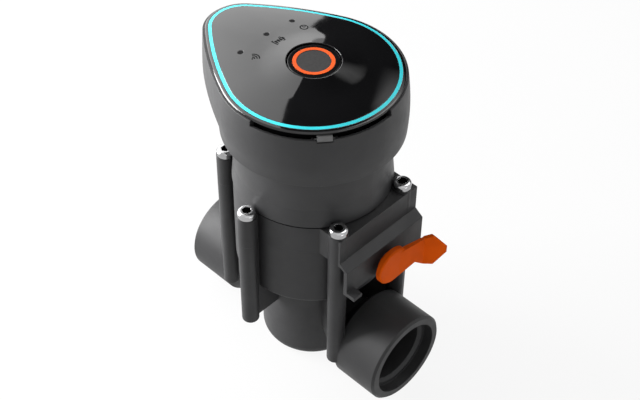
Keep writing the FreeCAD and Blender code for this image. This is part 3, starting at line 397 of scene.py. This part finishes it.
def draped(name, outlines, height):
    """A thin piece that lies on the panel: each outline is a closed list of (x, y) in metres."""
    panel = surface_of("lid_panel")
    points, faces = [], []
    for outline in outlines:
        start = len(points)
        count = len(outline)
        for side in (height, -height):
            for x, y in outline:
                hit = panel.ray_cast(Vector((x, y, DRAPE_START_Z)), Vector((0, 0, -1)))[0]
                points.append((x, y, hit.z + side))
        faces.append(tuple(range(start, start + count)))
        faces.append(tuple(range(start + 2 * count - 1, start + count - 1, -1)))
        for i in range(count):
            j = (i + 1) % count
            faces.append((start + i, start + count + i, start + count + j, start + j))
    piece = mesh_object(name, points, faces)
    piece.data.materials.append(FINISHES["label"].material)
    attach(piece, "lid")


def turned(points, x, y, angle):
    """Points in millimetres, turned and moved to a spot given in metres."""
    cos, sin = math.cos(angle), math.sin(angle)
    return [(x + cos * u * MM - sin * v * MM, y + sin * u * MM + cos * v * MM) for u, v in points]


def bar(low_u, high_u, low_v, high_v):
    return [(low_u, low_v), (high_u, low_v), (high_u, high_v), (low_u, high_v)]


def arc_band(radius, width, start, end):
    angles = [math.radians(start + (end - start) * i / ARC_STEPS) for i in range(ARC_STEPS + 1)]
    outer = [((radius + width / 2) * math.cos(a), (radius + width / 2) * math.sin(a)) for a in angles]
    inner = [((radius - width / 2) * math.cos(a), (radius - width / 2) * math.sin(a)) for a in angles]
    return outer + inner[::-1]


def battery_label():
    shapes = [bar(-2.0, 2.0, 1.15, 1.5), bar(-2.0, 2.0, -1.5, -1.15)]
    shapes += [bar(-2.0, -1.65, -1.15, 1.15), bar(1.65, 2.0, -1.15, 1.15), bar(2.0, 2.5, -0.6, 0.6)]
    shapes += [bar(u, u + 0.7, -0.8, 0.8) for u in (-1.35, -0.35, 0.65)]
    return shapes


def timer_label():
    return [arc_band(1.35, 0.4, 0, 350), bar(-0.15, 0.15, 0.0, 0.95), bar(0.0, 0.75, -0.15, 0.15)]


def signal_label():
    shapes = [arc_band(radius, 0.38, -50, 50) for radius in (0.8, 1.6, 2.4)]
    return shapes + [arc_band(0.15, 0.3, 0, 350)]


for name, shapes, spot in (
    ("label_timer", timer_label(), 1),
    ("label_battery", battery_label(), 0),
    ("label_signal", signal_label(), -1),
):
    outlines = [turned(shape, LABEL_X, LABEL_PITCH * spot, LABEL_TURN) for shape in shapes]
    draped(name, outlines, INLAY_HEIGHT)


# Coil springs, in the space of the sleeves that stand for them
def coil_height(turn, turns, low, high, wire):
    """Height of the wire's middle after some turns: a closed turn at each end, an even rise between."""
    closed = CLOSED_TURN_PITCH * wire
    rise = (high - low - 2 * closed) / (turns - 2)
    first = closed * min(turn, 1)
    middle = rise * min(max(turn - 1, 0), turns - 2)
    last = closed * max(turn - turns + 1, 0)
    return low + first + middle + last


def coil_mesh(name, foot, head, inner, outer, turns):
    wire = (outer - inner) / 2
    middle = (outer + inner) / 2
    rings = turns * STEPS_PER_TURN
    points, faces = [], []
    for i in range(rings + 1):
        height = coil_height(i / STEPS_PER_TURN, turns, foot + wire, head - wire, wire)
        angle = 2 * math.pi * i / STEPS_PER_TURN
        for j in range(WIRE_SIDES):
            around = 2 * math.pi * j / WIRE_SIDES
            reach = middle + wire * math.cos(around)
            z = height + wire * math.sin(around)
            points.append((reach * math.cos(angle), reach * math.sin(angle), z))
    for i in range(rings):
        first, second = i * WIRE_SIDES, (i + 1) * WIRE_SIDES
        for j in range(WIRE_SIDES):
            k = (j + 1) % WIRE_SIDES
            faces.append((first + j, second + j, second + k, first + k))
    last = rings * WIRE_SIDES
    faces.append(tuple(range(WIRE_SIDES)))
    faces.append(tuple(last + j for j in reversed(range(WIRE_SIDES))))
    coil = mesh_object(name, points, faces)
    coil.data.polygons.foreach_set("use_smooth", [len(face) == 4 for face in faces])
    return coil


def coil_spring(node, body, turns):
    sleeve = NODES[node]
    spots = [sleeve.matrix_world @ vertex.co for vertex in sleeve.data.vertices]
    radii = [math.hypot(spot.x, spot.y) for spot in spots]
    foot = min(spot.z for spot in spots)
    head = max(spot.z for spot in spots)
    piece = coil_mesh(node + "_coil", foot, head, min(radii), max(radii), turns)
    dress(piece, "stainless")
    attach(piece, body)
    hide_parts(node)
    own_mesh(piece)


coil_spring("diaphragm_spring", "valve", turns=5)
coil_spring("plunger_spring", "valve", turns=7)
coil_spring("button_spring", "lid", turns=5)


# Floor, light and camera
FLOOR_Z = -0.05 * MM
FLOOR_SIZE = 6
FLOOR_WHITE_SHARE = 0.9
FILL_STRENGTH = 0.34

# The card that stands before the softbox behind the object. It reaches far to the right, so that
# its left edge alone ends the bright reflection on the panel, and it glows towards one corner.
CARD_SHIFT = 0.752
CARD_SIZE = (1.6, 2.2)
CARD_ROLL = math.radians(-13)
CARD_GLOW = 5.0
CARD_GLOW_RIGHT = (0.28, 0.45)
CARD_GLOW_UP = (0.7, 1.0)

# Share of a shaded light's height over which its foot brightens
FOOT_SPAN = 0.35


def toward(turn, rise):
    """Direction from the object: turn is measured from the camera's own, to the picture's right."""
    angle = CAMERA_TURN + math.radians(turn)
    height = math.radians(rise)
    level = math.cos(height)
    return Vector((math.sin(angle) * level, -math.cos(angle) * level, math.sin(height)))


# Where the panel's reflection points, and the picture's right
REFLECTED = toward(180, 44.7)
RIGHTWARD = toward(90, 0)


def stage_plane(name, centre, facing, up, width, height):
    across = up.cross(facing).normalized()
    upward = facing.cross(across).normalized()
    corners = [tuple(centre + across * (width / 2 * u) + upward * (height / 2 * v))
               for u, v in ((-1, -1), (1, -1), (1, 1), (-1, 1))]
    plane = mesh_object(name, corners, [(0, 1, 2, 3)])
    return plane


def stage_finish(name, base):
    finish = Finish(name, base, 0.9, 0.0)
    finish.mottle(12, 0.98, 1.0)
    return finish


def floor_material():
    """Grey, but nearly white to the camera and in reflections."""
    finish = stage_finish("floor", (0.5, 0.5, 0.5, 1))
    path = finish.node("LightPath")
    seen = finish.maths("MAXIMUM", path.outputs["Is Camera Ray"], path.outputs["Is Glossy Ray"])
    seen = finish.maths("MAXIMUM", seen, path.outputs["Is Transmission Ray"])
    white = finish.node("Emission")
    white.inputs["Color"].default_value = WHITE
    mix = finish.node("MixShader")
    finish.link(finish.maths("MULTIPLY", seen, FLOOR_WHITE_SHARE), mix.inputs[0])
    finish.link(finish.shader.outputs[0], mix.inputs[1])
    finish.link(white.outputs[0], mix.inputs[2])
    finish.link(mix.outputs[0], finish.tree.nodes["Material Output"].inputs["Surface"])
    return finish.material


def card_material():
    """Black, and lighter towards its upper right corner."""
    finish = stage_finish("dark_card", (0.01, 0.01, 0.01, 1))
    x, y, z = finish.position()
    across = finish.maths("ADD", finish.maths("MULTIPLY", x, RIGHTWARD.x),
                          finish.maths("MULTIPLY", y, RIGHTWARD.y))
    right_share = finish.ramp(across, BLACK, WHITE, *CARD_GLOW_RIGHT)
    upper_share = finish.ramp(z, BLACK, WHITE, *CARD_GLOW_UP)
    glow = finish.maths("MULTIPLY", finish.maths("MULTIPLY", right_share, upper_share), CARD_GLOW)
    finish.link(glow, finish.shader.inputs["Emission Strength"])
    finish.shader.inputs["Emission Color"].default_value = WHITE
    return finish.material


def shade_light(data, right, left, foot):
    data.use_nodes = True
    tree = data.node_tree
    emission = tree.nodes["Emission"]
    place = tree.nodes.new("ShaderNodeSeparateXYZ")
    tree.links.new(tree.nodes.new("ShaderNodeNewGeometry").outputs["Parametric"], place.inputs[0])
    product = tree.nodes.new("ShaderNodeMath")
    product.operation = "MULTIPLY"
    rows = (("X", right, left, 1.0), ("Y", foot, 1.0, FOOT_SPAN))
    for spot, (axis, low, high, end) in enumerate(rows):
        span = tree.nodes.new("ShaderNodeMapRange")
        span.interpolation_type = "SMOOTHSTEP"
        span.inputs["From Max"].default_value = end
        span.inputs["To Min"].default_value = low
        span.inputs["To Max"].default_value = high
        tree.links.new(place.outputs[axis], span.inputs["Value"])
        tree.links.new(span.outputs["Result"], product.inputs[spot])
    tree.links.new(product.outputs[0], emission.inputs["Strength"])


def area_light(name, direction, distance, size, radiance, shift=(0.0, 0.0), roll=0.0, shade=None):
    """A rectangular light that faces the object, moved and rolled in its own plane.

    shade gives the light's strength at its right edge, its left edge and its foot."""
    data = bpy.data.lights.new(name, "AREA")
    data.shape = "RECTANGLE"
    data.size, data.size_y = size
    data.energy = radiance * math.pi * size[0] * size[1]
    lamp = linked(name, data)
    turned_to = (-direction).to_track_quat("-Z", "Y")
    across = turned_to @ Vector((1, 0, 0))
    upward = turned_to @ Vector((0, 1, 0))
    lamp.location = LIT_POINT + direction * distance + across * shift[0] + upward * shift[1]
    lamp.rotation_mode = "QUATERNION"
    lamp.rotation_quaternion = turned_to @ Quaternion((0, 0, 1), math.radians(roll))
    if shade:
        shade_light(data, *shade)


floor = stage_plane("floor", Vector((0, 0, FLOOR_Z)), Vector((0, 0, 1)), Vector((0, 1, 0)),
                    FLOOR_SIZE, FLOOR_SIZE)
floor.data.materials.append(floor_material())

area_light("softbox_left_back", REFLECTED, distance=1.1, size=(1.25, 1.55), radiance=2.1,
           shift=(0.64, -0.06), roll=-16, shade=(0.8, 3.3, 0.8))
area_light("softbox_left", toward(-103, 10), distance=0.6, size=(0.4, 0.65), radiance=22.0)
area_light("softbox_front", toward(10, 42), distance=1.5, size=(1.2, 1.0), radiance=0.3)
area_light("softbox_right", toward(40, -2), distance=1.2, size=(0.5, 0.6), radiance=2.2)

card_up = Quaternion(REFLECTED, CARD_ROLL) @ Vector((0, 0, 1))
card_centre = LIT_POINT + REFLECTED + RIGHTWARD * CARD_SHIFT
card = stage_plane("dark_card", card_centre, -REFLECTED, card_up, *CARD_SIZE)
card.data.materials.append(card_material())
card.visible_camera = False
card.visible_diffuse = False
card.visible_shadow = False

world = bpy.data.worlds.new("studio")
bpy.context.scene.world = world
world.use_nodes = True
tree = world.node_tree
fill = tree.nodes["Background"]
fill.inputs["Color"].default_value = WHITE
fill.inputs["Strength"].default_value = FILL_STRENGTH
seen = tree.nodes.new("ShaderNodeBackground")
seen.inputs["Color"].default_value = WHITE
seen.inputs["Strength"].default_value = 1.0
path = tree.nodes.new("ShaderNodeLightPath")
rays = path.outputs["Is Camera Ray"]
for output in ("Is Glossy Ray", "Is Transmission Ray"):
    either = tree.nodes.new("ShaderNodeMath")
    either.operation = "MAXIMUM"
    tree.links.new(rays, either.inputs[0])
    tree.links.new(path.outputs[output], either.inputs[1])
    rays = either.outputs["Value"]
choice = tree.nodes.new("ShaderNodeMixShader")
tree.links.new(rays, choice.inputs[0])
tree.links.new(fill.outputs[0], choice.inputs[1])
tree.links.new(seen.outputs[0], choice.inputs[2])
tree.links.new(choice.outputs[0], tree.nodes["World Output"].inputs["Surface"])

back = Vector((math.sin(CAMERA_TURN) * math.cos(CAMERA_RISE),
               -math.cos(CAMERA_TURN) * math.cos(CAMERA_RISE), math.sin(CAMERA_RISE)))
level_right = Vector((math.cos(CAMERA_TURN), math.sin(CAMERA_TURN), 0))
level_up = back.cross(level_right)
leaned_right = level_right * math.cos(CAMERA_LEAN) + level_up * math.sin(CAMERA_LEAN)
leaned_up = level_up * math.cos(CAMERA_LEAN) - level_right * math.sin(CAMERA_LEAN)
place = (Vector((0, 0, CAMERA_AIM_Z)) + back * CAMERA_DISTANCE
         - leaned_right * CAMERA_OFFSET[0] - leaned_up * CAMERA_OFFSET[1])
camera_data = bpy.data.cameras.new("camera")
camera_data.sensor_width = SENSOR_MM
camera_data.lens = CAMERA_LENS_MM
camera_data.clip_start = 0.01
camera_data.clip_end = 50.0
camera = linked("camera", camera_data)
camera.matrix_world = Matrix((
    (leaned_right.x, leaned_up.x, back.x, place.x),
    (leaned_right.y, leaned_up.y, back.y, place.y),
    (leaned_right.z, leaned_up.z, back.z, place.z),
    (0, 0, 0, 1),
))
bpy.context.scene.camera = camera
bpy.context.scene.view_settings.view_transform = "Standard"
